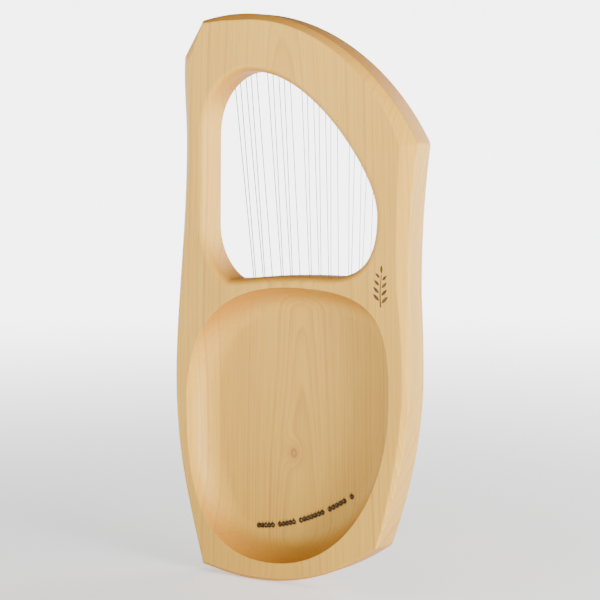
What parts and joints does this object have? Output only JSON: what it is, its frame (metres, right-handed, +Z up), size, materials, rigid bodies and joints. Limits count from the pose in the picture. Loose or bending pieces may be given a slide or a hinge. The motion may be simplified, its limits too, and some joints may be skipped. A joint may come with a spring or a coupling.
{
  "type": "lap harp",
  "caption": "Hand-held chromatic lap harp: a carved wooden body with a string opening and a bowl, strings in two planes over a bridge and nut, and turning tuning pins.",
  "frame": {"origin": "middle of the whole box at its lowest point, which is the body's bottom edge", "axes": "+Z up the instrument along the strings, -Y out of the front (the strings' side), +Y out of the carved back, +X to the right as seen from the front, the bass side"},
  "size_m": [0.329, 0.0689, 0.65],
  "materials": {
    "pale_wood": "satin oiled pale spruce, fine vertical grain, end grain darker",
    "dark_wood": "satin oiled dark hardwood",
    "brass": "drawn and polished",
    "string_steel": "bright drawn music wire",
    "pin_steel": "nickel-plated steel"
  },
  "bodies": {
    "frame": {"body": "pale_wood", "bridge": "dark_wood", "bridge_saddles": "brass", "nut_rail": "dark_wood", "nut_rod": "brass", "ball_ends": "brass", "string_g3": "string_steel", "string_gs3": "string_steel", "string_a3": "string_steel", "string_as3": "string_steel", "string_b3": "string_steel", "string_c4": "string_steel", "string_cs4": "string_steel", "string_d4": "string_steel", "string_ds4": "string_steel", "string_e4": "string_steel", "string_f4": "string_steel", "string_fs4": "string_steel", "string_g4": "string_steel", "string_gs4": "string_steel", "string_a4": "string_steel", "string_as4": "string_steel", "string_b4": "string_steel", "string_c5": "string_steel", "string_cs5": "string_steel", "string_d5": "string_steel", "string_ds5": "string_steel", "string_e5": "string_steel", "string_f5": "string_steel"},
    "pin_g3": {"tuning_pin_g3": "pin_steel"},
    "pin_gs3": {"tuning_pin_gs3": "pin_steel"},
    "pin_a3": {"tuning_pin_a3": "pin_steel"},
    "pin_as3": {"tuning_pin_as3": "pin_steel"},
    "pin_b3": {"tuning_pin_b3": "pin_steel"},
    "pin_c4": {"tuning_pin_c4": "pin_steel"},
    "pin_cs4": {"tuning_pin_cs4": "pin_steel"},
    "pin_d4": {"tuning_pin_d4": "pin_steel"},
    "pin_ds4": {"tuning_pin_ds4": "pin_steel"},
    "pin_e4": {"tuning_pin_e4": "pin_steel"},
    "pin_f4": {"tuning_pin_f4": "pin_steel"},
    "pin_fs4": {"tuning_pin_fs4": "pin_steel"},
    "pin_g4": {"tuning_pin_g4": "pin_steel"},
    "pin_gs4": {"tuning_pin_gs4": "pin_steel"},
    "pin_a4": {"tuning_pin_a4": "pin_steel"},
    "pin_as4": {"tuning_pin_as4": "pin_steel"},
    "pin_b4": {"tuning_pin_b4": "pin_steel"},
    "pin_c5": {"tuning_pin_c5": "pin_steel"},
    "pin_cs5": {"tuning_pin_cs5": "pin_steel"},
    "pin_d5": {"tuning_pin_d5": "pin_steel"},
    "pin_ds5": {"tuning_pin_ds5": "pin_steel"},
    "pin_e5": {"tuning_pin_e5": "pin_steel"},
    "pin_f5": {"tuning_pin_f5": "pin_steel"}
  },
  "joints": [
    {"name": "turn_g3", "type": "hinge", "parent": "frame", "child": "pin_g3", "pos_m": [0.11743, -0.00154, 0.59733], "axis": [0, -1, 0], "range_deg": [-90, 90]},
    {"name": "turn_gs3", "type": "hinge", "parent": "frame", "child": "pin_gs3", "pos_m": [0.11073, -0.00154, 0.6165], "axis": [0, -1, 0], "range_deg": [-90, 90]},
    {"name": "turn_a3", "type": "hinge", "parent": "frame", "child": "pin_a3", "pos_m": [0.10183, -0.00154, 0.60806], "axis": [0, -1, 0], "range_deg": [-90, 90]},
    {"name": "turn_as3", "type": "hinge", "parent": "frame", "child": "pin_as3", "pos_m": [0.09491, -0.00154, 0.62426], "axis": [0, -1, 0], "range_deg": [-90, 90]},
    {"name": "turn_b3", "type": "hinge", "parent": "frame", "child": "pin_b3", "pos_m": [0.08608, -0.00154, 0.61352], "axis": [0, -1, 0], "range_deg": [-90, 90]},
    {"name": "turn_c4", "type": "hinge", "parent": "frame", "child": "pin_c4", "pos_m": [0.07016, -0.00154, 0.6156], "axis": [0, -1, 0], "range_deg": [-90, 90]},
    {"name": "turn_cs4", "type": "hinge", "parent": "frame", "child": "pin_cs4", "pos_m": [0.0628, -0.00154, 0.6286], "axis": [0, -1, 0], "range_deg": [-90, 90]},
    {"name": "turn_d4", "type": "hinge", "parent": "frame", "child": "pin_d4", "pos_m": [0.05407, -0.00154, 0.61518], "axis": [0, -1, 0], "range_deg": [-90, 90]},
    {"name": "turn_ds4", "type": "hinge", "parent": "frame", "child": "pin_ds4", "pos_m": [0.04648, -0.00154, 0.62751], "axis": [0, -1, 0], "range_deg": [-90, 90]},
    {"name": "turn_e4", "type": "hinge", "parent": "frame", "child": "pin_e4", "pos_m": [0.0378, -0.00154, 0.61307], "axis": [0, -1, 0], "range_deg": [-90, 90]},
    {"name": "turn_f4", "type": "hinge", "parent": "frame", "child": "pin_f4", "pos_m": [0.02136, -0.00154, 0.60903], "axis": [0, -1, 0], "range_deg": [-90, 90]},
    {"name": "turn_fs4", "type": "hinge", "parent": "frame", "child": "pin_fs4", "pos_m": [0.0133, -0.00154, 0.61946], "axis": [0, -1, 0], "range_deg": [-90, 90]},
    {"name": "turn_g4", "type": "hinge", "parent": "frame", "child": "pin_g4", "pos_m": [0.00474, -0.00154, 0.60282], "axis": [0, -1, 0], "range_deg": [-90, 90]},
    {"name": "turn_gs4", "type": "hinge", "parent": "frame", "child": "pin_gs4", "pos_m": [-0.00358, -0.00154, 0.61205], "axis": [0, -1, 0], "range_deg": [-90, 90]},
    {"name": "turn_a4", "type": "hinge", "parent": "frame", "child": "pin_a4", "pos_m": [-0.01208, -0.00154, 0.59423], "axis": [0, -1, 0], "range_deg": [-90, 90]},
    {"name": "turn_as4", "type": "hinge", "parent": "frame", "child": "pin_as4", "pos_m": [-0.02066, -0.00154, 0.60215], "axis": [0, -1, 0], "range_deg": [-90, 90]},
    {"name": "turn_b4", "type": "hinge", "parent": "frame", "child": "pin_b4", "pos_m": [-0.02908, -0.00154, 0.58305], "axis": [0, -1, 0], "range_deg": [-90, 90]},
    {"name": "turn_c5", "type": "hinge", "parent": "frame", "child": "pin_c5", "pos_m": [-0.04627, -0.00154, 0.56906], "axis": [0, -1, 0], "range_deg": [-90, 90]},
    {"name": "turn_cs5", "type": "hinge", "parent": "frame", "child": "pin_cs5", "pos_m": [-0.05546, -0.00154, 0.57412], "axis": [0, -1, 0], "range_deg": [-90, 90]},
    {"name": "turn_d5", "type": "hinge", "parent": "frame", "child": "pin_d5", "pos_m": [-0.06367, -0.00154, 0.55211], "axis": [0, -1, 0], "range_deg": [-90, 90]},
    {"name": "turn_ds5", "type": "hinge", "parent": "frame", "child": "pin_ds5", "pos_m": [-0.07321, -0.00154, 0.55562], "axis": [0, -1, 0], "range_deg": [-90, 90]},
    {"name": "turn_e5", "type": "hinge", "parent": "frame", "child": "pin_e5", "pos_m": [-0.08129, -0.00154, 0.53203], "axis": [0, -1, 0], "range_deg": [-90, 90]},
    {"name": "turn_f5", "type": "hinge", "parent": "frame", "child": "pin_f5", "pos_m": [-0.09914, -0.00154, 0.50872], "axis": [0, -1, 0], "range_deg": [-90, 90]}
  ]
}
